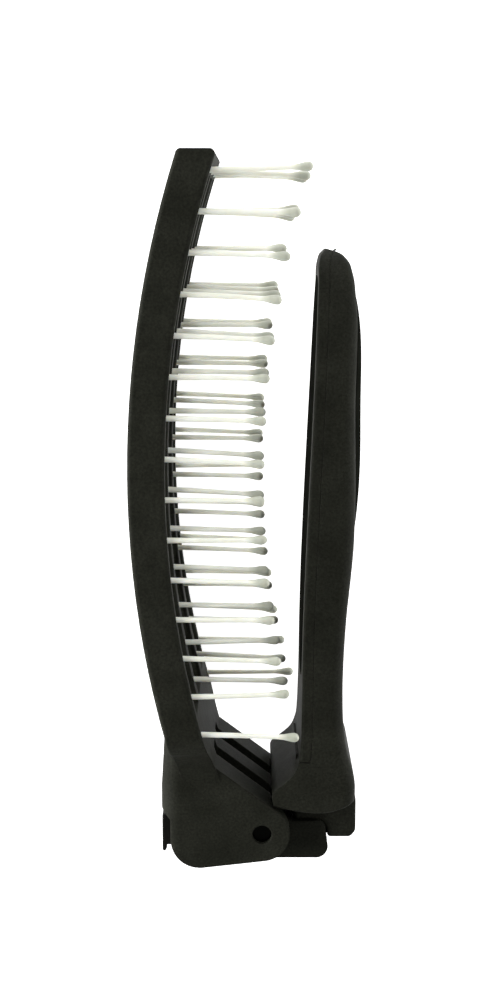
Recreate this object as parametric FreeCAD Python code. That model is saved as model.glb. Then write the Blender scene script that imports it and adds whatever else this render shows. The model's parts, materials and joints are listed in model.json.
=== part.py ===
import FreeCAD, Part

import math
import os

# Folding vent brush, folded shut and lying on its side.
# While it is drawn, the hinge axis is the line x = 0, y = 0, z = 0 is the middle plane,
# +x points from the head to the handle, +y along the brush and z along the hinge axis.
# The last step sets the lowest face on z = 0 and centres the footprint on the origin.
# All sizes are in millimetres.

# Head: four curved ribs, seen from the side as one arc
ARC_X, ARC_Y = 151.6, 64.3      # centre of the head's curve
R_FRONT = 168.0                 # bristle face of the ribs
R_BACK = 174.25                 # back face of the ribs
HEAD_TOP = 118.5                # free end of the head
HEAD_HALF = 21.6                # half the head's width
RIB_EDGE = 0.7                  # rounding along the ribs
OUTER_RIB = (18.2, 21.6)        # z range of an outer rib
INNER_RIB = (6.2, 11.3)         # z range of an inner rib
TIP_BAR = 4.2                   # height of the bar across the free end
TIP_CORNER_R = 0.9
BAR_DEPTH = 3.4                 # cross bars lie in the back part of the ribs
BAR_WIDTH = 2.4
FOOT_TOP = 23.0                 # where the ribs run out of the hinge end

# Pins: nylon, each with a foot behind the rib's front wall and a ball tip
ROW_PITCH = 6.9                 # along the ribs' bristle face
MIDDLE_ROW_Y = 67.6             # height of row 8
OUTER_ROWS = range(1, 16)
INNER_ROWS = range(1, 15)
PIN_R = 0.44
PIN_REACH = 15.9                # rib face to the middle of the ball
BALL_R = 0.82
FOOT_R = 0.80
FOOT_T = 0.8
FRONT_WALL = 2.0                # rib wall that the pins pass through
CHANNEL_HALF = 0.95             # half the width of the groove behind that wall
OUTER_Z = 19.95
INNER_Z = 8.75
FIT = 0.05                      # gap between pieces that are pressed together
CAP_T = 1.5

# Hinge end of the head
EAR_R = 4.9                     # round end of the ears, about the hinge axis
EAR_OUT, EAR_IN = 15.5, 12.0    # outer and inner faces of the ears
BLOCK_BACK = -17.8
BACK_CORNER_R = 3.3
NOTCH_X = -16.2                 # bottom of the release button's notch
NOTCH_TOP = 3.0
EAR_CORNER_R = 5.2
SLOPE = math.radians(37.0)      # sloped face on the bristle side
UNDER = math.radians(6.5)       # slight slope of the bottom face
WEB_HALF = 2.7                  # middle knuckle of the head
SLOT_Z = (3.1, 7.6)             # two long slots in the sloped face

# Hinge pin
HINGE_R = 1.70
HINGE_HALF = 14.3               # its ends sit below the ears' faces
EAR_BORE_R = 1.72
TONGUE_BORE_R = 1.76

# Handle
OPEN_ANGLE = 162.0              # from folded to open
CLEAR = 0.3
HANDLE_TOP = 102.05
INNER_TOP = (9.65, 96.0)        # the handle's inner face is a shallow arc through these
INNER_MIDDLE = (7.95, 56.0)
INNER_LOW = (6.9, 19.0)
COVER_T = 1.9                   # inner cover's share of the handle's depth
COVER_LOW = 13.0
END_LOW = -2.1                  # lowest edge of the handle shell
REBATE_HALF = 11.0              # the handle's end that goes between the ears
TONGUE_OUT, TONGUE_IN = 11.7, 3.0
HUB_R = 3.4
SHANK_X = 9.5                   # head side of the hinge block's shank
SCREW_ROWS = (17.0, 25.0)
SCREW_SEAT_X = 10.6
PAD_LOW, PAD_HIGH = 50.5, 95.0
PAD_HALF = 10.4
PAD_TOP_X = 17.75
PAD_SEAT_X = 15.2
LINER_LOW, LINER_HIGH = 25.0, 98.0   # soft strip on the handle's inner face
LINER_HALF = 8.6
LINER_DEPTH = 0.5
LINER_CROWN = 0.45

# Release button
BUTTON_T = 0.8
BUTTON_HALF = 11.7
SPRING_Z = 7.0
SPRING_Y = 1.2
SPRING_R = 1.0
SPRING_WIRE = 0.34
SPRING_TURNS = 5
SPRING_END_X = -13.7

NODES = {}


def V(x, y, z=0.0):
    return FreeCAD.Vector(x, y, z)


def path(points, place):
    """Closed wire. A step is (a, b) for a straight run or (mid, end) for an arc through mid."""
    edges = []
    start = place(*points[0])
    here = start
    for step in points[1:]:
        if isinstance(step[0], tuple):
            there = place(*step[1])
            edges.append(Part.Arc(here, place(*step[0]), there).toShape())
        else:
            there = place(*step)
            edges.append(Part.LineSegment(here, there).toShape())
        here = there
    if here.distanceToPoint(start) > 1e-6:
        edges.append(Part.LineSegment(here, start).toShape())
    return Part.Wire(edges)


def prism_z(points, z0, z1):
    """Side profile in x and y, from z0 to z1."""
    face = Part.Face(path(points, lambda x, y: V(x, y, z0)))
    return face.extrude(V(0, 0, z1 - z0))


def prism_x(points, x0, x1):
    """Outline in y and z, from x0 to x1."""
    face = Part.Face(path(points, lambda y, z: V(x0, y, z)))
    return face.extrude(V(x1 - x0, 0, 0))


def prism_y(points, y0, y1):
    """Cross section in x and z, from y0 to y1."""
    face = Part.Face(path(points, lambda x, z: V(x, y0, z)))
    return face.extrude(V(0, y1 - y0, 0))


def box(x0, x1, y0, y1, z0, z1):
    return Part.makeBox(x1 - x0, y1 - y0, z1 - z0, V(x0, y0, z0))


def rod_z(r, z0, z1, x=0.0, y=0.0):
    return Part.makeCylinder(r, z1 - z0, V(x, y, z0), V(0, 0, 1))


def mirrored(shape):
    return shape.mirror(V(0, 0, 0), V(0, 0, 1))


def both(shape):
    return [shape, mirrored(shape)]


def fuse(shapes):
    joined = shapes[0]
    for shape in shapes[1:]:
        joined = joined.fuse(shape)
    return joined


def on_arc(r, y):
    """The x of the head's arc of radius r at height y."""
    return ARC_X - math.sqrt(r * r - (y - ARC_Y) ** 2)


def polar(r, degrees):
    a = math.radians(degrees)
    return (r * math.cos(a), r * math.sin(a))


def swept(r0, r1, z0, z1, y0, y1, edge=0.0):
    """A rounded bar that follows the head's curve between two heights."""
    a0 = math.degrees(math.asin((y0 - ARC_Y) / r1)) - 1.0
    a1 = math.degrees(math.asin((y1 - ARC_Y) / r0)) + 1.0
    e = max(edge, 0.001)
    k = e * (1 - math.sqrt(0.5))
    section = [
        (r0 + e, z0), (r1 - e, z0), ((r1 - k, z0 + k), (r1, z0 + e)),
        (r1, z1 - e), ((r1 - k, z1 - k), (r1 - e, z1)),
        (r0 + e, z1), ((r0 + k, z1 - k), (r0, z1 - e)),
        (r0, z0 + e), ((r0 + k, z0 + k), (r0 + e, z0)),
    ]
    if edge == 0.0:
        section = [(r0, z0), (r1, z0), (r1, z1), (r0, z1)]
    wire = path(section, lambda r, z: V(ARC_X - r, ARC_Y, z))
    wire.rotate(V(ARC_X, ARC_Y, 0), V(0, 0, 1), -a0)
    bar = Part.Face(wire).revolve(V(ARC_X, ARC_Y, 0), V(0, 0, 1), -(a1 - a0))
    return bar.common(box(-60, 60, y0, y1, z0 - 1, z1 + 1))


def row_y(row):
    """Height of a pin row: rows are evenly spaced along the ribs' bristle face."""
    middle = math.asin((MIDDLE_ROW_Y - ARC_Y) / R_FRONT)
    return ARC_Y + R_FRONT * math.sin(middle + (8 - row) * ROW_PITCH / R_FRONT)


def bar_y(index):
    """Cross bars lie midway between rows 3-4, 5-6 and so on."""
    return (row_y(2 * index + 1) + row_y(2 * index + 2)) / 2


def ear_profile():
    """Round end about the hinge axis, with the sloped face and the bottom face tangent to it."""
    top = polar(EAR_R, 90 - math.degrees(SLOPE))
    low = polar(EAR_R, -90 + math.degrees(UNDER))
    rise = 14.6
    slope_end = (top[0] - rise * math.cos(SLOPE), top[1] + rise * math.sin(SLOPE))
    corner_x = NOTCH_X + EAR_CORNER_R

    def bottom_y(x):
        return low[1] - (low[0] - x) * math.tan(UNDER)

    corner_y = bottom_y(corner_x) + EAR_CORNER_R / math.cos(UNDER)
    start = (corner_x + EAR_CORNER_R * math.sin(UNDER), corner_y - EAR_CORNER_R * math.cos(UNDER))
    mid = polar(EAR_CORNER_R, -135.0)
    return [
        top,
        (polar(EAR_R, -15.0), low),
        start,
        ((corner_x + mid[0], corner_y + mid[1]), (NOTCH_X, corner_y)),
        (NOTCH_X, NOTCH_TOP - 0.4),
        (BLOCK_BACK, NOTCH_TOP + 1.2),
        (BLOCK_BACK, 8.0),
        ((-17.35, 14.5), (on_arc(R_BACK, 21.0) + 0.2, 21.0)),
        (-11.5, 21.0),
        (on_arc(R_FRONT, 18.0), 18.0),
        ((-9.35, 15.0), slope_end),
    ]


def hinge_end():
    """Solid hinge end of the head, before its hollow is cut."""
    block = prism_z(ear_profile(), -EAR_OUT, EAR_OUT)
    e = BACK_CORNER_R
    k = e * (1 - math.sqrt(0.5))
    section = [
        (20.0, -EAR_OUT), (20.0, EAR_OUT), (BLOCK_BACK + e, EAR_OUT),
        ((BLOCK_BACK + k, EAR_OUT - k), (BLOCK_BACK, EAR_OUT - e)),
        (BLOCK_BACK, -EAR_OUT + e),
        ((BLOCK_BACK + k, -EAR_OUT + k), (BLOCK_BACK + e, -EAR_OUT)),
    ]
    return block.common(prism_y(section, -10.0, 25.0))


def foot():
    """Where the four ribs run together and narrow to the hinge end."""
    plate = swept(R_FRONT, R_BACK, -HEAD_HALF, HEAD_HALF, 8.6, FOOT_TOP, RIB_EDGE)
    outline = [
        (8.0, -15.3), (9.0, -15.47), ((13.06, -16.57), (16.0, -19.6)), ((18.2, -21.1), (21.5, HEAD_HALF * -1.001)),
        (24.0, -HEAD_HALF - 0.2), (24.0, HEAD_HALF + 0.2), (21.5, HEAD_HALF * 1.001),
        ((18.2, 21.1), (16.0, 19.6)), ((13.06, 16.57), (9.0, 15.47)), (8.0, 15.3),
    ]
    return plate.common(prism_x(outline, -30.0, 10.0))


def hollow():
    """Space between the ears, open at the bottom and towards the handle."""
    return prism_z(
        [(-16.6, -14.0), (-16.6, 3.6), (-12.4, 4.9), (-4.6, 7.1), (1.6, 3.49), (1.6, 9.0), (9.0, 9.0), (9.0, -14.0)],
        -EAR_IN, EAR_IN)


def web():
    """Middle knuckle: carries the hinge pin between the handle's two tongues."""
    over = 2.45
    lean = math.radians(180.0 - OPEN_ANGLE)
    left = -12.0
    right = -4.2
    left_y = (over + left * math.sin(lean)) / math.cos(lean)
    right_y = (over + right * math.sin(lean)) / math.cos(lean)
    arm = prism_z(
        [(left, left_y), (right, right_y), (0.0, 0.0), (2.0, 3.6), (-4.6, 7.6), (left, 5.6)],
        -WEB_HALF, WEB_HALF)
    return fuse([arm, rod_z(EAR_R - 0.5, -WEB_HALF, WEB_HALF)])


def slope_slots():
    """Two long slots through the sloped face, into the hollow."""
    tool = box(-13.2, 2.9, -1.0, 9.0, SLOT_Z[0], SLOT_Z[1])
    tool.rotate(V(0, 0, 0), V(0, 0, 1), -math.degrees(SLOPE))
    shift = polar(2.2, 90 - math.degrees(SLOPE))
    tool.translate(V(shift[0] - 1.6, shift[1] + 1.0, 0))
    return both(tool)


def tip_corners():
    """What is taken off the head's free end, to round its two corners."""
    tools = []
    low = HEAD_TOP - TIP_CORNER_R
    for r, side in ((R_BACK, 1), (R_FRONT, -1)):
        lean = math.asin((low - ARC_Y) / r)
        x = on_arc(r, low) + side * TIP_CORNER_R / math.cos(lean)
        tool = box(min(x, x - side * 3.0), max(x, x - side * 3.0), low, HEAD_TOP + 1.0, -HEAD_HALF - 1, HEAD_HALF + 1)
        tools.append(tool.cut(rod_z(TIP_CORNER_R, -HEAD_HALF - 2, HEAD_HALF + 2, x, low)))
    return tools


def head_frame():
    ribs = []
    for z0, z1 in (OUTER_RIB, INNER_RIB):
        ribs += both(swept(R_FRONT, R_BACK, z0, z1, FOOT_TOP - 3.0, HEAD_TOP, RIB_EDGE))
    tip = swept(R_FRONT, R_BACK, -HEAD_HALF, HEAD_HALF, HEAD_TOP - TIP_BAR, HEAD_TOP, RIB_EDGE)
    bars = []
    for index in range(1, 7):
        y = bar_y(index)
        bars.append(swept(R_BACK - BAR_DEPTH, R_BACK - 0.4, -20.0, 20.0,
                          y - BAR_WIDTH / 2, y + BAR_WIDTH / 2))
    frame = fuse(ribs + [tip] + bars + [foot(), hinge_end()])
    frame = frame.cut(hollow())
    frame = fuse([frame, web()])
    frame = frame.cut(slope_slots())
    frame = frame.cut(rod_z(EAR_BORE_R, -EAR_OUT - 1, EAR_OUT + 1))
    cuts = []
    for z, rows in ((OUTER_Z, OUTER_ROWS), (INNER_Z, INNER_ROWS)):
        low, high = channel_ends(rows)
        groove = swept(R_FRONT + FRONT_WALL, R_BACK + 1.0, z - CHANNEL_HALF, z + CHANNEL_HALF, low, high)
        cuts += both(groove)
        for row in rows:
            y = row_y(row)
            bore = Part.makeCylinder(PIN_R + FIT, 8.0, V(on_arc(R_FRONT, y) - 4.0, y, z), V(1, 0, 0))
            cuts += both(bore)
    frame = frame.cut(cuts + tip_corners())
    for z in (SPRING_Z, -SPRING_Z):
        seat = box(SPRING_END_X, SPRING_END_X + 1.0, -0.2, 5.0, z - 2.0, z + 2.0)
        frame = frame.fuse(seat)
    return frame


def channel_ends(rows):
    return row_y(rows[-1]) - 1.8, row_y(rows[0]) + 1.6


def pin(row, z):
    """One nylon pin: foot behind the rib's front wall, shank and ball tip."""
    y = row_y(row)
    face_x = on_arc(R_FRONT, y)
    lean = math.degrees(math.asin((y - ARC_Y) / R_FRONT))
    seat = V(on_arc(R_FRONT + FRONT_WALL + FIT, y), y, z)
    head = Part.makeCylinder(FOOT_R, FOOT_T, seat, V(-math.cos(math.radians(lean)), math.sin(math.radians(lean)), 0))
    start = seat.x - 0.3
    shank = Part.makeCylinder(PIN_R, face_x + PIN_REACH - start, V(start, y, z), V(1, 0, 0))
    ball = Part.makeSphere(BALL_R, V(face_x + PIN_REACH, y, z))
    return fuse([head, shank, ball])


def pin_column(z, rows):
    return Part.makeCompound([pin(row, z) for row in rows])


def rib_cap(z, rows):
    low, high = channel_ends(rows)
    half = CHANNEL_HALF - FIT
    return swept(R_BACK - CAP_T, R_BACK, z - half, z + half, low + FIT, high - FIT)


def handle_profile():
    """Side view of the whole handle above the step that meets the ears."""
    lean = math.radians(180.0 - OPEN_ANGLE) - UNDER

    def step_y(x):
        return (EAR_R + CLEAR - x * math.sin(lean)) / math.cos(lean)

    return [
        (2.2, step_y(2.2)), (6.0, step_y(6.0)), ((11.0, 3.75), (16.5, 5.6)),
        ((16.5, 7.6), (16.15, 9.8)), ((15.2, 13.4), (14.5, 18.0)), ((14.25, 24.0), (14.4, 30.0)),
        ((14.85, 38.0), (15.6, 46.0)), ((16.0, 50.5), (16.1, 55.0)), ((15.95, 75.0), (16.3, 96.0)),
        ((14.9, 100.4), (11.3, HANDLE_TOP)), (10.9, HANDLE_TOP), ((10.1, 101.6), (9.75, 100.0)),
        INNER_TOP, (INNER_MIDDLE, INNER_LOW), (6.75, 15.0),
        ((5.6, 10.5), (1.9, 7.4)),
    ]


def handle_blank():
    body = prism_z(handle_profile(), -15.2, 15.2)
    outline = [
        (0.0, -15.2), (8.0, -15.2), ((15.0, -14.0), (22.0, -12.9)), ((38.0, -12.4), (54.0, -12.9)),
        ((72.0, -12.7), (90.0, -10.6)), ((99.4, -6.6), (103.0, 0.0)), ((99.4, 6.6), (90.0, 10.6)),
        ((72.0, 12.7), (54.0, 12.9)), ((38.0, 12.4), (22.0, 12.9)), ((15.0, 14.0), (8.0, 15.2)), (0.0, 15.2),
    ]
    return body.common(prism_x(outline, 0.0, 20.0))


def cover_zone(gap):
    """Everything on the head side of the parting surface, down to the cover's lower end."""
    t = COVER_T + gap
    return prism_z(
        [(0.0, COVER_LOW - gap), (INNER_LOW[0] - 0.1 + t, COVER_LOW - gap), (INNER_LOW[0] + t, INNER_LOW[1]),
         ((INNER_MIDDLE[0] + t, INNER_MIDDLE[1]), (INNER_TOP[0] + t, INNER_TOP[1])),
         (INNER_TOP[0] + 0.3 + t, 104.0), (0.0, 104.0)],
        -20.0, 20.0)


def liner_blank(grow):
    """Soft strip let into the cover's inner face; it stands a little proud along its middle."""
    seat = LINER_DEPTH + grow
    crown = LINER_CROWN + grow
    low, high = LINER_LOW - grow, LINER_HIGH + grow
    side = prism_z(
        [(INNER_LOW[0] + seat + 0.15, low), (INNER_LOW[0] + 0.1, low),
         ((INNER_MIDDLE[0] - crown, INNER_MIDDLE[1]), (INNER_TOP[0] + 0.1, high)), (INNER_TOP[0] + seat + 0.1, high),
         ((INNER_MIDDLE[0] + seat, INNER_MIDDLE[1]), (INNER_LOW[0] + seat + 0.15, low))],
        -20.0, 20.0)
    half = LINER_HALF + grow
    outline = [
        (low, 0.0), ((low + 2.0, -half + 2.4), (low + 8.0, -half)), (78.0, -half), ((90.0, -half + 2.6), (high, 0.0)),
        ((90.0, half - 2.6), (78.0, half)), (low + 8.0, half), ((low + 2.0, half - 2.4), (low, 0.0)),
    ]
    return side.common(prism_x(outline, 0.0, 20.0))


def handle_cavity():
    side = prism_z(
        [(2.0, 13.4), (6.0, 13.4), (6.0, 6.4), (12.2, 6.4), (12.4, 20.0), ((13.0, 38.0), (13.6, 48.0)),
         (13.6, 96.0), (2.0, 96.0)], -20.0, 20.0)
    outline = [
        (6.0, -12.4), ((14.0, -12.0), (22.0, -11.0)), ((38.0, -10.5), (54.0, -11.0)),
        ((74.0, -10.6), (90.0, -8.4)), (96.0, -5.4), (96.0, 5.4), (90.0, 8.4), ((74.0, 10.6), (54.0, 11.0)),
        ((38.0, 10.5), (22.0, 11.0)), ((14.0, 12.0), (6.0, 12.4)),
    ]
    return side.common(prism_x(outline, 0.0, 20.0))


def pad_blank(grow):
    side = prism_z([(PAD_SEAT_X - grow, PAD_LOW - grow), (15.9, PAD_LOW - grow),
                    ((PAD_TOP_X + grow, 73.0), (16.1, PAD_HIGH + grow)), (PAD_SEAT_X - grow, PAD_HIGH + grow)],
                   -20.0, 20.0)
    z = PAD_HALF + grow
    crown = prism_y([(12.0, -z), (16.0, -z), ((PAD_TOP_X + grow, 0.0), (16.0, z)), (12.0, z)], 40.0, 100.0)
    h = z - 0.2
    outline = [
        (PAD_LOW - grow, 0.0), ((PAD_LOW + 3.0, -h + 3.0), (PAD_LOW + 12.0, -h)), (78.0, -h),
        ((90.5, -h + 4.2), (PAD_HIGH + grow, 0.0)), ((90.5, h - 4.2), (78.0, h)), (PAD_LOW + 12.0, h),
        ((PAD_LOW + 3.0, h - 3.0), (PAD_LOW - grow, 0.0)),
    ]
    return side.common(crown).common(prism_x(outline, 10.0, 20.0))


def block_neck(gap):
    """The hinge block's shank, which fills the lower part of the handle."""
    return box(5.6 - gap, 12.0 + gap, 1.0, 30.0, -9.4 - gap, 9.4 + gap)


def handle_shell():
    shell = handle_blank()
    end = prism_z([(5.9, 7.0), (5.9, 1.25), (9.1, 1.25), ((10.98, 1.04), (11.6, -0.6)), (11.75, END_LOW),
                   (15.9, END_LOW), (16.8, -1.0), (16.8, 5.0), (16.3, 7.0)], -REBATE_HALF, REBATE_HALF)
    shell = fuse([shell, end])
    shell = shell.cut(cover_zone(FIT))
    shell = shell.cut(handle_cavity())
    shell = shell.cut(block_neck(FIT).common(box(0.0, 12.2, 0.0, 8.0, -20.0, 20.0)))
    shell = shell.cut(box(5.0, 12.2, -2.5, 6.4, -9.5, 9.5))
    shell = shell.cut(pad_blank(FIT))
    for y in SCREW_ROWS:
        boss = Part.makeCylinder(1.6, 1.7, V(12.05, y, 0), V(1, 0, 0))
        shell = shell.fuse(boss)
        shell = shell.cut(Part.makeCylinder(0.8, 1.55, V(12.0, y, 0), V(1, 0, 0)))
    return shell


def handle_cover():
    cover = handle_blank().common(cover_zone(0.0))
    pegs = []
    for y, x in ((40.0, 7.6), (60.0, 8.2), (88.0, 9.3)):
        for z in (-6.0, 6.0):
            pegs.append(Part.makeCylinder(1.1, 2.2, V(x + 1.2, y, z), V(1, 0, 0)))
    return fuse([cover] + pegs).cut(liner_blank(FIT))


def tongue_profile():
    return [
        (0.0, HUB_R), (5.3, 1.15), (9.1, 1.15), ((10.8, 0.85), (11.4, -0.7)), (11.6, -2.6),
        ((11.35, -4.9), (9.4, -5.7)), (2.4, -5.7), (-2.2, -2.6),
    ]


def hinge_block():
    """Two tongues that ride on the hinge pin, and the shank that is screwed into the handle."""
    parts = []
    tongue = fuse([prism_z(tongue_profile(), TONGUE_IN, TONGUE_OUT), rod_z(HUB_R, TONGUE_IN, TONGUE_OUT)])
    parts += both(tongue)
    parts.append(box(5.6, 11.6, -1.9, 6.3, -TONGUE_IN - 0.2, TONGUE_IN + 0.2))
    parts.append(box(5.6, 12.0, -1.9, 6.3, -9.4, 9.4))
    parts.append(box(SHANK_X, 12.0, 6.0, 30.0, -9.4, 9.4))
    parts.append(box(6.1, 9.8, 6.0, 12.8, -9.4, 9.4))
    block = fuse(parts)
    block = block.cut(rod_z(TONGUE_BORE_R, -20.0, 20.0))
    for y in SCREW_ROWS:
        block = block.cut(Part.makeCylinder(1.0, 8.0, V(8.0, y, 0), V(1, 0, 0)))
        block = block.cut(Part.makeCylinder(2.0, SCREW_SEAT_X - 8.0, V(8.0, y, 0), V(1, 0, 0)))
    return block


def screw(y):
    low = SCREW_SEAT_X - 0.9
    head = Part.makeCylinder(1.8, 0.88, V(low, y, 0), V(1, 0, 0))
    shank = Part.makeCylinder(0.75, 3.2, V(low + 0.5, y, 0), V(1, 0, 0))
    cross = fuse([box(low - 0.1, low + 0.4, y - 1.0, y + 1.0, -0.2, 0.2),
                  box(low - 0.1, low + 0.4, y - 0.2, y + 0.2, -1.0, 1.0)])
    return fuse([head, shank]).cut(cross)


def release_button():
    plate = box(BLOCK_BACK, BLOCK_BACK + BUTTON_T, -4.4, 2.4, -BUTTON_HALF, BUTTON_HALF)
    outer = [e for e in plate.Edges if abs(e.CenterOfMass.x - BLOCK_BACK) < 0.01]
    plate = plate.makeFillet(0.35, outer)
    plate = plate.cut(prism_z([(BLOCK_BACK + 0.35, -4.6), (BLOCK_BACK + 1.0, -4.6), (BLOCK_BACK + 1.0, -3.6)],
                              -20.0, 20.0))
    lip = box(BLOCK_BACK + 0.5, -15.8, 0.4, 2.0, -4.5, 4.5)
    stubs = [Part.makeCylinder(0.6, 1.2, V(BLOCK_BACK + 0.5, SPRING_Y, z), V(1, 0, 0))
             for z in (-SPRING_Z, SPRING_Z)]
    skirts = both(box(BLOCK_BACK + 0.4, -15.2, -3.2, 2.0, BUTTON_HALF - 0.45, BUTTON_HALF))
    return fuse([plate, lip] + stubs + skirts)


def coil(z):
    """One small compression spring between the button and the web behind it: flat turns, linked end to end."""
    start = BLOCK_BACK + BUTTON_T + 0.02
    length = SPRING_END_X - start - 0.02
    step = (length - SPRING_WIRE) / (SPRING_TURNS - 1)
    outer, inner = SPRING_R + SPRING_WIRE / 2, SPRING_R - SPRING_WIRE / 2
    turns = []
    links = []
    for index in range(SPRING_TURNS):
        base = V(start + index * step, SPRING_Y, z)
        turn = Part.makeCylinder(outer, SPRING_WIRE, base, V(1, 0, 0))
        turns.append(turn.cut(Part.makeCylinder(inner, SPRING_WIRE, base, V(1, 0, 0))))
        if index < SPRING_TURNS - 1:
            side = SPRING_R if index % 2 else -SPRING_R
            links.append(box(base.x, base.x + step + SPRING_WIRE, SPRING_Y - 0.2, SPRING_Y + 0.2,
                             z + side - 0.1, z + side + 0.1))
    return fuse(turns + links)


def build():
    NODES["head_frame"] = head_frame()
    for name, z, rows in (("outer_near", OUTER_Z, OUTER_ROWS), ("inner_near", INNER_Z, INNER_ROWS),
                          ("inner_far", -INNER_Z, INNER_ROWS), ("outer_far", -OUTER_Z, OUTER_ROWS)):
        NODES["pins_" + name] = pin_column(z, rows)
        NODES["rib_cap_" + name] = rib_cap(z, rows)
    NODES["hinge_pin"] = rod_z(HINGE_R, -HINGE_HALF, HINGE_HALF)
    NODES["release_button"] = release_button()
    NODES["button_springs"] = Part.makeCompound([coil(z) for z in (-SPRING_Z, SPRING_Z)])
    NODES["handle_shell"] = handle_shell()
    NODES["handle_cover"] = handle_cover()
    NODES["grip_pad"] = pad_blank(0.0)
    NODES["inner_liner"] = liner_blank(0.0)
    NODES["hinge_block"] = hinge_block()
    NODES["block_screws"] = Part.makeCompound([screw(y) for y in SCREW_ROWS])


def write():
    whole = Part.makeCompound(list(NODES.values())).optimalBoundingBox()
    shift = V(-(whole.XMin + whole.XMax) / 2, -(whole.YMin + whole.YMax) / 2, -whole.ZMin)
    os.makedirs("parts", exist_ok=True)
    for name, shape in NODES.items():
        shape.translate(shift)
        shape.exportStep("parts/" + name + ".step")
        good = "" if shape.isValid() else "NOT VALID"
        print(name, len(shape.Solids), "solid(s)", round(shape.Volume, 1), "mm3", good)
    print("size", round(whole.XLength, 2), round(whole.YLength, 2), round(whole.ZLength, 2))
    print("hinge axis at x y", round(shift.x, 3), round(shift.y, 3), "middle plane z", round(shift.z, 3))


build()
write()
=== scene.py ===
# %% [markdown]
# # A folding vent brush
# The brush is folded shut and lies on the flat side of its head. Its frame comes from the workshop drawing, and
# this lesson puts the finished surfaces around it: the pins, the handle, the grip pad, the ribs and every finish.
# The drawing is loaded first, because each new surface takes its place from it.

import json
import math

import bpy
import numpy as np
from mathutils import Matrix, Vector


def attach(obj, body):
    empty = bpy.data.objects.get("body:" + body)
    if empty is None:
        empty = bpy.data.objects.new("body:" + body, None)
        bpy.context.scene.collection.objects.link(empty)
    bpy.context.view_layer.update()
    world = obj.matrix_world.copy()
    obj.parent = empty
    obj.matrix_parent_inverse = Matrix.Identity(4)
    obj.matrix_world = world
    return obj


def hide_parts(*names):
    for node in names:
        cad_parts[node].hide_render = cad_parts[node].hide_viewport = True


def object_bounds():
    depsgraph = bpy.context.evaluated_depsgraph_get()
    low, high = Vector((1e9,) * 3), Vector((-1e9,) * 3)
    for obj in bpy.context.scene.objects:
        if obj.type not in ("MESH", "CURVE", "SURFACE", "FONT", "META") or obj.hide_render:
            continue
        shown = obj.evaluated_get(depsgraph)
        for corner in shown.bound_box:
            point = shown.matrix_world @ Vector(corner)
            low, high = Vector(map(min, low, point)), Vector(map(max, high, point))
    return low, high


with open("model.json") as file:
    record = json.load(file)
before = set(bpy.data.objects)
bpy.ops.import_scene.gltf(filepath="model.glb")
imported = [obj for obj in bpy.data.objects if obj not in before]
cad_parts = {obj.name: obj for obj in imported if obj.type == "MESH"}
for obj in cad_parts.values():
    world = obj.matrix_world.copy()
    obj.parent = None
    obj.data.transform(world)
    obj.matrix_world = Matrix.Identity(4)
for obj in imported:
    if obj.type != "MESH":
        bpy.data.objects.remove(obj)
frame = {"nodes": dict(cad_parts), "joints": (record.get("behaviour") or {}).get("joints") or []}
cad_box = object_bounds()
print("frame box", cad_box)

# %% [markdown]
# The hinge pin is the brush's natural zero: ribs, pins and handle are all laid out from it. Sizes below are in
# millimetres from the hinge axis: x from head to handle, y along the brush, z along the hinge pin. One helper
# turns such points into metres in the frame, so a size reads the same here as on a ruler.

# %% The hinge axis as zero
hinge = np.array([j["pos_m"] for j in frame["joints"] if j["name"] == "handle_fold"][0], float)
MM = 0.001


def placed(points):
    """Millimetres from the hinge axis to metres in the frame: point times 0.001, plus the hinge's place."""
    return np.asarray(points, float) * MM + hinge


print("hinge axis at", hinge)

# %% [markdown]
# Every new surface here is a grid of points: rings, each with the same number of points, one after another along
# the piece. A single builder joins neighbouring rings with four-sided faces and closes both ends with a point.
# That is quicker than modelling by hand, and the form stays exact when a size changes.

# %% A mesh from rings of points


def ring_faces(rings, around, first=0):
    """Faces of a grid that closes on itself: ring i, point j joins i+1 and j+1, with j counted round the ring."""
    i = np.arange(rings - 1)[:, None]
    j = np.arange(around)[None, :]
    k = (j + 1) % around
    quads = np.stack([i * around + j, i * around + k, (i + 1) * around + k, (i + 1) * around + j], axis=-1)
    return quads.reshape(-1, 4) + first


def closed_loft(rings):
    """Points and faces of one closed form. Each end gets a pole, the mean of its ring, and a fan of triangles."""
    count, around = rings.shape[:2]
    points = np.concatenate([rings.reshape(-1, 3), rings[0].mean(0)[None], rings[-1].mean(0)[None]])
    j = np.arange(around)
    k = (j + 1) % around
    low, high = count * around, count * around + 1
    start = np.stack([np.full(around, low), k, j], axis=-1)
    last = (count - 1) * around
    end = np.stack([np.full(around, high), last + j, last + k], axis=-1)
    return points, [ring_faces(count, around), start, end]


def piece(name, forms, body, replaced=()):
    """One object from several closed forms, smooth shaded, faces outwards, riding on its body."""
    points, faces, count = [], [], 0
    for form_points, groups in forms:
        points.append(form_points)
        for group in groups:
            faces.extend((group + count).tolist())
        count += len(form_points)
    mesh = bpy.data.meshes.new(name)
    mesh.from_pydata(np.concatenate(points).tolist(), [], faces)
    mesh.validate()
    thing = bpy.data.objects.new(name, mesh)
    bpy.context.scene.collection.objects.link(thing)
    bpy.context.view_layer.objects.active = thing
    for other in bpy.context.selected_objects:
        other.select_set(False)
    thing.select_set(True)
    bpy.ops.object.mode_set(mode="EDIT")
    bpy.ops.mesh.select_all(action="SELECT")
    bpy.ops.mesh.normals_make_consistent(inside=False)
    bpy.ops.object.mode_set(mode="OBJECT")
    mesh.polygons.foreach_set("use_smooth", np.ones(len(mesh.polygons), bool))
    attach(thing, body)
    if replaced:
        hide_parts(*replaced)
    print(name, len(mesh.polygons), "faces")
    return thing


# %% [markdown]
# ## Finishes
# The mouldings are warm black plastic from a spark-eroded mould: matte, with a fine grain that scatters light and
# fades where hands polish the edges. A flat colour would look like a shadow, so the finish is built from three
# scales of noise: the grain as bump, a soft mottling of roughness, and faint handling marks in the colour.

# %% Helpers for finishes


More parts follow.
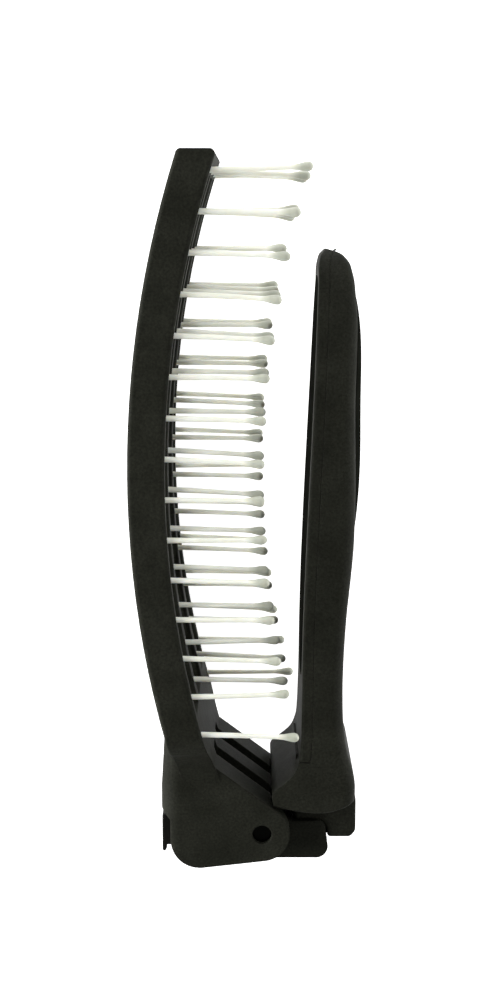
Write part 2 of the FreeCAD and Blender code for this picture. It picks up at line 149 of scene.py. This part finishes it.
def node(tree, kind, **values):
    """One shader node, with its inputs and settings given by name."""
    made = tree.nodes.new(kind)
    for name, value in values.items():
        if hasattr(made, name):
            setattr(made, name, value)
        else:
            made.inputs[name.replace("_", " ")].default_value = value
    return made


def noise(tree, scale, detail=2.0, rough=0.5):
    """Noise on the object's own coordinates. Scale is in cells per metre."""
    place = node(tree, "ShaderNodeTexCoord")
    made = node(tree, "ShaderNodeTexNoise", Scale=scale, Detail=detail, Roughness=rough)
    tree.links.new(place.outputs["Object"], made.inputs["Vector"])
    return made.outputs["Fac"]


def ramp(tree, source, stops):
    """Colour ramp fed by a value. A stop is (position, colour)."""
    made = node(tree, "ShaderNodeValToRGB")
    bar = made.color_ramp
    while len(bar.elements) < len(stops):
        bar.elements.new(0.5)
    for element, (position, colour) in zip(bar.elements, stops):
        element.position = position
        element.color = (*colour, 1.0)
    tree.links.new(source, made.inputs["Fac"])
    return made.outputs["Color"]


def spread(tree, source, low, high):
    """A value from 0 to 1 spread over low to high."""
    made = node(tree, "ShaderNodeMapRange")
    made.inputs["To Min"].default_value = low
    made.inputs["To Max"].default_value = high
    tree.links.new(source, made.inputs["Value"])
    return made.outputs["Result"]


def blank(name):
    """A new material with its node tree and its shader."""
    made = bpy.data.materials.new(name)
    made.use_nodes = True
    shader = made.node_tree.nodes["Principled BSDF"]
    return made, made.node_tree, shader


def bumped(tree, shader, height, strength, distance, under=None):
    """Bump from a height value, on top of another normal if one is given."""
    made = node(tree, "ShaderNodeBump", Strength=strength, Distance=distance)
    tree.links.new(height, made.inputs["Height"])
    if under is not None:
        tree.links.new(under, made.inputs["Normal"])
    tree.links.new(made.outputs["Normal"], shader.inputs["Normal"])
    return made.outputs["Normal"]


# %% Moulded black plastic


def moulded_plastic(name, dark, light, rough, grain, edge_mm):
    """Grained plastic: colour between two near-blacks, rough plus or minus a little, edges rounded by edge_mm."""
    made, tree, shader = blank(name)
    mottle = ramp(tree, noise(tree, 160.0, 3.0), [(0.3, dark), (0.72, light)])
    speckle = ramp(tree, noise(tree, 2400.0, 3.0, 0.7), [(0.32, (0.66, 0.66, 0.66)), (0.68, (1.34, 1.34, 1.34))])
    mixed = node(tree, "ShaderNodeMix", data_type="RGBA", blend_type="MULTIPLY")
    mixed.inputs["Factor"].default_value = 1.0
    tree.links.new(mottle, mixed.inputs["A"])
    tree.links.new(speckle, mixed.inputs["B"])
    tree.links.new(mixed.outputs["Result"], shader.inputs["Base Color"])
    polish = noise(tree, 420.0, 4.0, 0.6)
    tree.links.new(spread(tree, polish, rough - 0.06, rough + 0.08), shader.inputs["Roughness"])
    shader.inputs["Specular IOR Level"].default_value = 0.05
    soft_edge = node(tree, "ShaderNodeBevel", samples=6)
    soft_edge.inputs["Radius"].default_value = edge_mm * MM
    cells = node(tree, "ShaderNodeTexVoronoi", Scale=2600.0)
    place = node(tree, "ShaderNodeTexCoord")
    tree.links.new(place.outputs["Object"], cells.inputs["Vector"])
    first = bumped(tree, shader, cells.outputs["Distance"], grain, 0.00006, soft_edge.outputs["Normal"])
    bumped(tree, shader, noise(tree, 5200.0, 2.0), grain * 0.7, 0.00003, first)
    return made


WARM_DARK = (0.0105, 0.0110, 0.0078)
WARM_LIGHT = (0.0170, 0.0177, 0.0132)
head_plastic = moulded_plastic("head_plastic", WARM_DARK, WARM_LIGHT, rough=0.62, grain=0.35, edge_mm=0.35)
handle_plastic = moulded_plastic("handle_plastic", WARM_DARK, WARM_LIGHT, rough=0.58, grain=0.30, edge_mm=0.35)
BUTTON_DARK = (0.0045, 0.0045, 0.0038)
BUTTON_LIGHT = (0.0070, 0.0070, 0.0058)
button_plastic = moulded_plastic("button_plastic", BUTTON_DARK, BUTTON_LIGHT, rough=0.50, grain=0.12, edge_mm=0.25)
# Painted shade: the hinge block's plastic is the head's plastic made about a third darker, for the shade on the
# rebated end between the ears.
BLOCK_PAINTED_SHADE_DARK = (0.0075, 0.0080, 0.0056)
BLOCK_PAINTED_SHADE_LIGHT = (0.0125, 0.0130, 0.0095)
block_plastic_painted_shade = moulded_plastic("block_plastic_painted_shade", BLOCK_PAINTED_SHADE_DARK, BLOCK_PAINTED_SHADE_LIGHT, rough=0.62, grain=0.35, edge_mm=0.35)
print("plastics made")

# %% [markdown]
# The grip pad is soft rubber, blacker and duller than the plastic, with a finer skin. The pins are ivory nylon:
# light passes a little way into them, so they glow rather than shine; their ball ends get a painted shade, a
# darker colour for the thicker nylon. The pin, screws and springs are plain steel with fine turning lines round
# them.

# %% Rubber, nylon and steel


# Dark rubber: the palm pad's own colour, and painted shade where it is laid on the handle's inner face.
def rubber():
    made, tree, shader = blank("pad_rubber")
    colours = [(0.3, (0.0055, 0.0057, 0.0045)), (0.7, (0.0085, 0.0088, 0.0070))]
    tree.links.new(ramp(tree, noise(tree, 220.0, 3.0), colours), shader.inputs["Base Color"])
    tree.links.new(spread(tree, noise(tree, 600.0, 3.0), 0.62, 0.78), shader.inputs["Roughness"])
    shader.inputs["Specular IOR Level"].default_value = 0.0
    bumped(tree, shader, noise(tree, 3600.0, 3.0), 0.25, 0.00005)
    return made


def nylon():
    made, tree, shader = blank("pin_nylon")
    shank = ramp(tree, noise(tree, 300.0, 2.0), [(0.3, (0.80, 0.81, 0.71)), (0.7, (0.90, 0.91, 0.82))])
    # Painted shade: the ball's colour is about half as light as the shank's, for the darker look of the thick
    # nylon.
    ball = ramp(tree, noise(tree, 300.0, 2.0), [(0.3, (0.40, 0.42, 0.35)), (0.7, (0.50, 0.52, 0.44))])
    mixed = node(tree, "ShaderNodeMix", data_type="RGBA")
    thick = node(tree, "ShaderNodeAttribute", attribute_name="thick")
    tree.links.new(thick.outputs["Fac"], mixed.inputs["Factor"])
    tree.links.new(shank, mixed.inputs["A"])
    tree.links.new(ball, mixed.inputs["B"])
    tree.links.new(mixed.outputs["Result"], shader.inputs["Base Color"])
    tree.links.new(spread(tree, noise(tree, 900.0, 2.0), 0.30, 0.42), shader.inputs["Roughness"])
    shader.inputs["Subsurface Weight"].default_value = 0.35
    shader.inputs["Subsurface Radius"].default_value = (0.0012, 0.0010, 0.0007)
    shader.inputs["Subsurface Scale"].default_value = 1.0
    bumped(tree, shader, noise(tree, 2500.0, 2.0), 0.08, 0.00003)
    return made


def steel(name, colour, lines):
    made, tree, shader = blank(name)
    place = node(tree, "ShaderNodeTexCoord")
    rings = node(tree, "ShaderNodeTexWave", Scale=lines, Distortion=1.5, bands_direction="Z")
    tree.links.new(place.outputs["Object"], rings.inputs["Vector"])
    tree.links.new(ramp(tree, noise(tree, 500.0), [(0.3, [c * 0.8 for c in colour]), (0.7, colour)]),
                   shader.inputs["Base Color"])
    tree.links.new(spread(tree, rings.outputs["Fac"], 0.28, 0.42), shader.inputs["Roughness"])
    shader.inputs["Metallic"].default_value = 1.0
    bumped(tree, shader, rings.outputs["Fac"], 0.15, 0.00002)
    return made


pad_rubber = rubber()
pin_nylon = nylon()
pin_steel = steel("turned_steel", (0.62, 0.62, 0.60), 900.0)
# Near-black steel for the hinge pin, which keeps its ends dark in their hole.
black_steel = steel("near_black_pin_steel", (0.008, 0.0085, 0.007), 900.0)
spring_steel = steel("spring_steel", (0.50, 0.50, 0.52), 1500.0)

# %% Finishes onto the frame's own pieces
FINISH = {
    "head_frame": head_plastic, "rib_cap_outer_near": head_plastic, "rib_cap_inner_near": head_plastic,
    "rib_cap_inner_far": head_plastic, "rib_cap_outer_far": head_plastic, "hinge_pin": black_steel,
    "release_button": button_plastic, "button_springs": spring_steel, "hinge_block": block_plastic_painted_shade,
    "block_screws": pin_steel, "handle_shell": handle_plastic, "handle_cover": handle_plastic,
    "grip_pad": pad_rubber, "inner_liner": pad_rubber, "pins_outer_near": pin_nylon, "pins_inner_near": pin_nylon,
    "pins_inner_far": pin_nylon, "pins_outer_far": pin_nylon,
}
for name, finish in FINISH.items():
    slots = frame["nodes"][name].data.materials
    slots.clear()
    slots.append(finish)
print(len(FINISH), "frame pieces finished")

# %% [markdown]
# ## The pins
# Each pin is one nylon moulding: a slim shank, thicker where it leaves the rib, that runs out into a drop-shaped
# ball so that it doesn't scratch. It could be a cylinder with a sphere, but the real ball grows out of the shank.
# So a pin is a profile turned about its own line, and every pin leans a degree or two, as pins do in use.

# %% One pin as a turned profile
ARC_X, ARC_Y, ARC_R = 151.6, 64.3, 168.0
ROW_PITCH, MIDDLE_ROW_Y, MIDDLE_ROW = 6.9, 67.6, 8
OUTER_Z, INNER_Z = 19.95, 8.75
REACH, BALL = 15.9, 0.81
DROP_START, DROP_LENGTH = 13.0, 1.6
AROUND = 12
LEAN_DEG, LEAN_SPREAD_DEG, LEAN_RANGE_DEG = -1.3, 1.6, (-3.3, 2.9)
SIDEWAYS_SPREAD_DEG, SIDEWAYS_RANGE_DEG = 0.7, (-1.2, 1.2)
STRAIGHT, BENT = 0.65, 0.35


def rib_face(y):
    """The x of the ribs' bristle face: the arc's centre less the square root of its radius squared less y's."""
    return ARC_X - np.sqrt(ARC_R ** 2 - (np.asarray(y, float) - ARC_Y) ** 2)


def row_height(row):
    """Rows are evenly spaced along the arc: the centre plus radius times the sine of the row's angle."""
    middle = math.asin((MIDDLE_ROW_Y - ARC_Y) / ARC_R)
    return ARC_Y + ARC_R * np.sin(middle + (MIDDLE_ROW - row) * ROW_PITCH / ARC_R)


def pin_profile():
    """Distance along the pin and radius there: collar, tapering shank, drop, and the ball's round end."""
    shank = np.array([(-1.2, 0.50), (0.0, 0.50), (0.35, 0.49), (0.9, 0.48),
                      (6.0, 0.455), (11.0, 0.425), (DROP_START, 0.42)])
    drop = np.array([(14.0, 0.50), (14.8, 0.66), (15.45, 0.78)])
    angle = np.radians([0.0, 22.0, 45.0, 66.0, 84.0])
    ball = np.stack([REACH + BALL * np.sin(angle), BALL * np.cos(angle)], axis=-1)
    return np.concatenate([shank, drop, ball])


def pins(rows, z, seed):
    """All pins of a column. A pin's ring i is its line's point plus radius times (cos, sin) across the line. The
    line drifts by the sine of its lean, times a straight share of the way out and a bent share of its square."""
    draw = np.random.default_rng(seed)
    profile = pin_profile()
    turn = np.linspace(0, 2 * np.pi, AROUND, endpoint=False)
    along, across = profile[:, 0][:, None], profile[:, 1][:, None]
    out = along.clip(0)
    drift = STRAIGHT * out + BENT * out ** 2 / REACH
    forms = []
    for row in rows:
        y = row_height(row)
        lean_y = math.radians(float(np.clip(draw.normal(LEAN_DEG, LEAN_SPREAD_DEG), *LEAN_RANGE_DEG)))
        lean_z = math.radians(float(np.clip(draw.normal(0.0, SIDEWAYS_SPREAD_DEG), *SIDEWAYS_RANGE_DEG)))
        x = rib_face(y) + along + 0 * turn
        ys = y + drift * math.sin(lean_y) + across * np.cos(turn)
        zs = z + drift * math.sin(lean_z) + across * np.sin(turn)
        forms.append(closed_loft(placed(np.stack([x, ys, zs], axis=-1))))
    return forms


COLUMNS = {"outer_near": (OUTER_Z, range(1, 16)), "inner_near": (INNER_Z, range(1, 15)),
           "inner_far": (-INNER_Z, range(1, 15)), "outer_far": (-OUTER_Z, range(1, 16))}
for seed, (side, (z, rows)) in enumerate(COLUMNS.items(), start=3):
    column = piece("brush_pins_" + side, pins(rows, z, seed), "head", ["pins_" + side])
    # The thick attribute runs from 0 on the shank to 1 in the ball: it is the mask of the balls' painted shade.
    ring_ball_painted_shade = np.clip((pin_profile()[:, 0] - DROP_START) / DROP_LENGTH, 0, 1)
    one_pin_ball_painted_shade = np.concatenate([np.repeat(ring_ball_painted_shade, AROUND), [0.0, 1.0]])
    thick = column.data.attributes.new("thick", "FLOAT", "POINT")
    thick.data.foreach_set("value", np.tile(one_pin_ball_painted_shade, len(rows)).astype(np.float32))
    column.data.materials.append(pin_nylon)

# %% [markdown]
# ## The handle
# The handle is a long hollow moulding with a flatter cover on the side that faces the pins. It is fullest at the
# hinge, draws in to a waist, swells into the palm and rounds off at its end. Its section changes slowly all the
# way, so it is lofted: at each height a rounded rectangle, whose depth, width and corners come from smooth curves.

# %% Curves through a few sizes


def through(knots, y):
    """A smooth curve through (y, value) knots: cubic pieces that share the slope of each knot's neighbours."""
    knots = np.asarray(knots, float)
    slopes = np.gradient(knots[:, 1], knots[:, 0])
    y = np.clip(y, knots[0, 0], knots[-1, 0])
    i = np.clip(np.searchsorted(knots[:, 0], y) - 1, 0, len(knots) - 2)
    step = knots[i + 1, 0] - knots[i, 0]
    t = (y - knots[i, 0]) / step
    a, b = knots[i, 1], knots[i + 1, 1]
    sa, sb = slopes[i] * step, slopes[i + 1] * step
    return a + t * sa + t ** 2 * (3 * (b - a) - 2 * sa - sb) + t ** 3 * (2 * (a - b) + sa + sb)


INNER_EDGE = [(4.0, 2.1), (7.0, 2.0), (8.6, 3.6), (10.8, 5.6), (13.0, 6.5), (16.0, 6.85), (19.0, 6.95),
              (37.0, 7.25), (56.0, 7.95), (76.0, 8.85), (96.0, 9.65), (100.0, 9.85), (101.2, 10.2), (102.05, 11.0)]
BACK_EDGE = [(4.0, 16.45), (7.6, 16.45), (9.8, 16.15), (13.4, 15.2), (18.0, 14.5), (24.0, 14.28), (30.0, 14.4),
             (38.0, 14.85), (46.0, 15.6), (50.5, 15.95), (55.0, 16.1), (75.0, 16.0), (94.0, 16.1), (98.0, 15.6),
             (100.4, 14.6), (101.5, 13.2), (102.05, 11.4)]
HALF_WIDTH = [(4.0, 15.15), (8.0, 15.1), (15.0, 14.0), (22.0, 12.9), (38.0, 12.4), (54.0, 12.9), (72.0, 12.7),
              (82.0, 11.9), (90.0, 10.6), (95.0, 8.9), (99.0, 6.7), (101.0, 4.6), (102.05, 2.9)]
COVER_DEPTH = 1.9
PARTING = 0.02
COVER_LOW = 13.0
SEAM = 0.04
BACK_ROUNDING, PARTING_ROUNDING, INNER_ROUNDING, END_ROUNDING = 2.2, 0.12, 0.5, 0.45
BACK_SHARE, PARTING_SHARE, INNER_SHARE = 0.42, 0.2, 0.3
LEAST = 0.01
SHELL_LOW, HANDLE_TOP = 4.2, 102.05
STEP = [(1.8, 4.95), (2.2, 4.86), (4.0, 4.49), (6.0, 4.08), (8.5, 3.78), (11.0, 3.75), (13.5, 4.3),
        (15.2, 5.0), (16.5, 5.6)]


def step_height(x):
    """The handle's lower end is a step that clears the head's ears: slanted first, then curving up to the back."""
    return through(STEP, x)


# %% A rounded rectangle at every height


def section(low, high, half, r_low, r_high, flats=7, arcs=7):
    """Outline of a rounded rectangle for many heights at once, as (x, z) grids: flats joined by quarter circles,
    where x is low + r (1 - cos a) and z is half - r (1 - sin a) at angle a of a corner."""
    sizes = (low, high, half, r_low, r_high)
    low, high, half, r_low, r_high = (np.asarray(size, float).reshape(-1, 1) for size in sizes)
    t = np.linspace(0, 1, flats, endpoint=False)[None, :]
    a = np.linspace(0, np.pi / 2, arcs, endpoint=False)[None, :]
    xs = [low + 0 * t, low + r_low * (1 - np.cos(a)), low + r_low + (high - r_high - low - r_low) * t,
          high - r_high * (1 - np.sin(a))]
    zs = [(half - r_low) * t, half - r_low * (1 - np.sin(a)), half + 0 * t, half - r_high * (1 - np.cos(a))]
    x = np.concatenate(xs + [high + 0 * t], axis=1)
    z = np.concatenate(zs + [(half - r_high) * (1 - t)], axis=1)
    return np.concatenate([x, x[:, :0:-1]], axis=1), np.concatenate([z, -z[:, :0:-1]], axis=1)


def handle_heights(first):
    """Rings lie closer together near both ends, where the form turns faster."""
    t = np.linspace(0, 1, 150)
    return first + (HANDLE_TOP - first) * (0.5 * t + 0.25 * (1 - np.cos(np.pi * t)))


def shell_forms():
    """Back moulding: from the parting line to the back edge, down to the slanted step. Two extra rings at the
    cover's lower end make that change sharp. The step's slant fades with the sixth power of the way up."""
    y = np.sort(np.append(handle_heights(SHELL_LOW), [COVER_LOW - 1.5 * SEAM, COVER_LOW - 0.75 * SEAM]))
    inner = through(INNER_EDGE, y)
    low = inner + (COVER_DEPTH + PARTING) * (y > COVER_LOW - SEAM)
    high = np.maximum(through(BACK_EDGE, y), low + 5 * LEAST)
    half = through(HALF_WIDTH, y)
    r_high = np.clip((high - low) * BACK_SHARE, 2 * LEAST, BACK_ROUNDING)
    r_low = np.clip((high - low) * PARTING_SHARE, LEAST, PARTING_ROUNDING)
    x, z = section(low, high, half, r_low, r_high)
    blend = ((HANDLE_TOP - y) / (HANDLE_TOP - y[0]))[:, None]
    ys = y[:, None] + (step_height(x) - y[0]) * blend ** 6
    rings = np.stack([x, ys, z], axis=-1)
    return [softened(rings)]


def softened(rings, radius=END_ROUNDING):
    """Adds smaller rings before the first one, so that the cut end has a rounded edge and a flat face. The ring at
    angle a is drawn in by radius times 1 - sin a, and raised by radius times 1 - cos a."""
    centre = rings[0].mean(0)
    first = rings[0]
    out = first - centre
    length = np.linalg.norm(out[:, [0, 2]], axis=1, keepdims=True).clip(1e-6)
    steps = np.radians([0.0, 25.0, 50.0, 75.0])
    added = []
    for a in steps:
        moved = first.copy()
        moved -= out / length * radius * (1 - math.sin(a))
        moved[:, 1] = first[:, 1] - radius * math.cos(a) + radius
        added.append(moved)
    shrunk = added[0].copy()
    shrunk[:, [0, 2]] = centre[[0, 2]] + (added[0][:, [0, 2]] - centre[[0, 2]]) * 0.6
    shrunk[:, 1] = added[0][:, 1] * 0.6 + added[0][:, 1].mean() * 0.4
    return closed_loft(placed(np.concatenate([[shrunk], added, rings[2:]])))


# %% [markdown]
# The lowest part of the handle steps inwards, so that it passes between the head's ears. It has straight sides, so
# it isn't lofted along the handle like the rest: it is a thick plate cut to an outline, with its edges rounded.

# %% The end that goes between the ears


def slab(outline, z0, z1, edge, soft=3):
    """A plate with rounded edges: an outline in x and y, drawn in by a quarter circle towards both faces.
    The outline is filled in at even steps and averaged with its neighbours, which rounds its corners."""
    outline = np.asarray(outline, float)
    ahead = np.roll(outline, -1, axis=0)
    gaps = np.linalg.norm(ahead - outline, axis=1)
    walk = np.concatenate([[0], np.cumsum(gaps)])
    where = np.linspace(0, walk[-1], max(48, int(walk[-1] / 0.3)), endpoint=False)
    ends = np.concatenate([outline, outline[:1]])
    line = np.stack([np.interp(where, walk, ends[:, 0]), np.interp(where, walk, ends[:, 1])], axis=-1)
    for _ in range(soft):
        line = (np.roll(line, 1, axis=0) + 2 * line + np.roll(line, -1, axis=0)) / 4
    run = np.roll(line, -1, axis=0) - np.roll(line, 1, axis=0)
    out = np.stack([run[:, 1], -run[:, 0]], axis=-1) / np.linalg.norm(run, axis=1, keepdims=True)
    turn = np.sum(line[:, 0] * np.roll(line[:, 1], -1) - line[:, 1] * np.roll(line[:, 0], -1))
    out *= np.sign(turn)
    rings = []
    for z, angles in ((z0, (90, 60, 30, 0)), (z1, (0, 30, 60, 90))):
        side = -1 if z == z0 else 1
        for a in np.radians(angles):
            drawn = line - out * edge * (1 - math.cos(a))
            height = z - side * edge * (1 - math.sin(a))
            rings.append(np.concatenate([drawn, np.full((len(line), 1), height)], axis=1))
    middle = line.mean(0)
    for at, source in ((0, rings[0]), (len(rings) + 1, rings[-1])):
        inset = source.copy()
        inset[:, :2] = middle + (source[:, :2] - middle) * 0.5
        rings.insert(at, inset)
    return closed_loft(placed(np.stack(rings)))


SHELL_END = [(5.9, 7.4), (5.9, 1.25), (9.1, 1.25), (10.3, 1.05), (11.2, 0.35), (11.6, -0.6), (11.75, -2.1),
             (15.9, -2.1), (16.8, -1.0), (16.8, 5.0), (16.3, 7.4)]
REBATE_HALF = 11.0
END_EDGE = 0.4

# %% [markdown]
# The cover and the back moulding share the same curves, and meet along a parting line as fine as on the real
# handle. So they are two objects, and the line between them is a real gap and not a drawn one.

# %% Both mouldings


def cover_forms():
    """Cover: the strip from the inner face back to the parting line."""
    y = handle_heights(COVER_LOW - SEAM)
    low = through(INNER_EDGE, y)
    back = through(BACK_EDGE, y)
    high = np.minimum(low + COVER_DEPTH, np.maximum(back, low + 4 * LEAST) - PARTING)
    half = through(HALF_WIDTH, y)
    r_low = np.clip((high - low) * INNER_SHARE, LEAST, INNER_ROUNDING)
    r_high = np.clip((high - low) * PARTING_SHARE, LEAST, PARTING_ROUNDING)
    x, z = section(low, high, half, r_low, r_high)
    return [closed_loft(placed(np.stack([x, y[:, None] + 0 * x, z], axis=-1)))]


shell = piece("handle_back", shell_forms() + [slab(SHELL_END, -REBATE_HALF, REBATE_HALF, END_EDGE)],
              "handle", ["handle_shell"])
shell.data.materials.append(handle_plastic)
cover = piece("handle_front", cover_forms(), "handle", ["handle_cover"])
cover.data.materials.append(handle_plastic)

# %% [markdown]
# ## The palm pad and the shaded inner strip
# A rubber pad is let into the back of the handle, where the palm rests. A thinner strip of the same dark rubber on
# its inner face is painted shade: it darkens the face that turns away from the lights.
# Both are cushions with a rounded outline: flat plates would catch the light as one patch, but a real pad is
# crowned. So each is a squarish oval, and its height falls with the square of the distance from the middle.

# %% Crowned pads


def crowned_pad(low, high, half, edge, side, rise, crown):
    """Squarish oval between two heights. Ring k of the pad is the outline times k, lifted by crown times 1 - k
    squared above the surface it sits in; the outer rings turn down into the recess. side is 1 or -1 along x."""
    turn = np.linspace(0, 2 * np.pi, 96, endpoint=False)
    power = 2 / 3.4
    across = np.sign(np.sin(turn)) * np.abs(np.sin(turn)) ** power
    along = np.sign(np.cos(turn)) * np.abs(np.cos(turn)) ** power
    middle, reach = (low + high) / 2, (high - low) / 2
    rings = []
    for k, lift in ((0.5, -0.6), (0.985, -0.6), (0.985, rise * 0.3), (0.972, rise * 0.8), (0.95, rise)):
        y = middle + reach * along * k
        rings.append(np.stack([through(edge, y) + side * (lift + crown * (1 - k ** 2) * (lift > 0)), y,
                               half * across * k], axis=-1))
    for k in np.linspace(0.9, 0.03, 22):
        y = middle + reach * along * k
        x = through(edge, y) + side * (rise + crown * (1 - k ** 2))
        rings.append(np.stack([x, y, half * across * k], axis=-1))
    return closed_loft(placed(np.stack(rings)))


pad = piece("palm_pad", [crowned_pad(50.5, 95.0, 10.4, BACK_EDGE, 1, 0.12, 1.4)], "handle",
            ["grip_pad"])
pad.data.materials.append(pad_rubber)
# Painted shade: the inner strip's dark rubber stands in for the shade on the face turned towards the pins.
painted_shade_liner = piece("inner_strip_painted_shade", [crowned_pad(25.0, 98.0, 9.6, INNER_EDGE, -1, 0.06, 0.39)], "handle",
              ["inner_liner"])
painted_shade_liner.data.materials.append(pad_rubber)

# %% [markdown]
# ## The floor, the light and the camera
# Black plastic is hard to show, and needs plain white behind it. A wide pale floor and large soft lights on both
# sides give that, and leave the side that faces the viewer darker than the edges, so the edges draw the shape.

# %% Floor and world
low_corner, high_corner = (np.array(v) for v in cad_box)
middle = (low_corner + high_corner) / 2
bpy.ops.mesh.primitive_plane_add(size=6.0, location=(middle[0], middle[1], low_corner[2] - 0.0002))
floor = bpy.context.object
floor.name = "floor"
paper, tree, shader = blank("paper_floor")
shader.inputs["Base Color"].default_value = (0.92, 0.92, 0.92, 1)
shader.inputs["Roughness"].default_value = 0.9
shader.inputs["Emission Color"].default_value = (1.0, 1.0, 1.0, 1)
shader.inputs["Emission Strength"].default_value = 0.85
floor.data.materials.append(paper)

world = bpy.data.worlds.new("studio")
bpy.context.scene.world = world
world.use_nodes = True
world.node_tree.nodes["Background"].inputs["Color"].default_value = (1.0, 1.0, 1.0, 1)
world.node_tree.nodes["Background"].inputs["Strength"].default_value = 0.21

# %% Soft lights


def soft_light(name, place, size, power, aim):
    """A square area light at a place in metres from the brush's middle, aimed at a point near it."""
    lamp = bpy.data.lights.new(name, "AREA")
    lamp.shape = "SQUARE"
    lamp.size = size
    lamp.energy = power
    thing = bpy.data.objects.new(name, lamp)
    bpy.context.scene.collection.objects.link(thing)
    thing.location = middle + np.array(place)
    away = thing.location - Vector(middle + np.array(aim))
    thing.rotation_euler = away.to_track_quat("Z", "Y").to_euler()
    return thing


soft_light("light_bristle_side", (0.42, 0.05, 0.12), 0.45, 1.9, (0, 0, 0))
soft_light("light_back_side", (-0.42, 0.0, 0.08), 0.45, 6.0, (0, 0, 0))
soft_light("light_end", (0.0, 0.5, 0.22), 0.5, 1.2, (0, 0, 0))
soft_light("light_hinge_end", (-0.1, -0.45, 0.22), 0.5, 0.35, (0, 0, 0))

# %% Camera
LENS_MM = 59.79
PITCH = math.radians(-9.631)
CAMERA_PLACE = (-2.12, 107.34, 294.62)
eye = bpy.data.cameras.new("viewer")
eye.lens = LENS_MM
eye.sensor_width = 36.0
eye.clip_start = 0.01
viewer = bpy.data.objects.new("viewer", eye)
bpy.context.scene.collection.objects.link(viewer)
viewer.location = placed(CAMERA_PLACE)
viewer.rotation_euler = (PITCH, 0.0, 0.0)
bpy.context.scene.camera = viewer
bpy.context.scene.view_settings.view_transform = "Standard"
bpy.context.scene.view_settings.look = "None"
print("camera at", tuple(viewer.location))
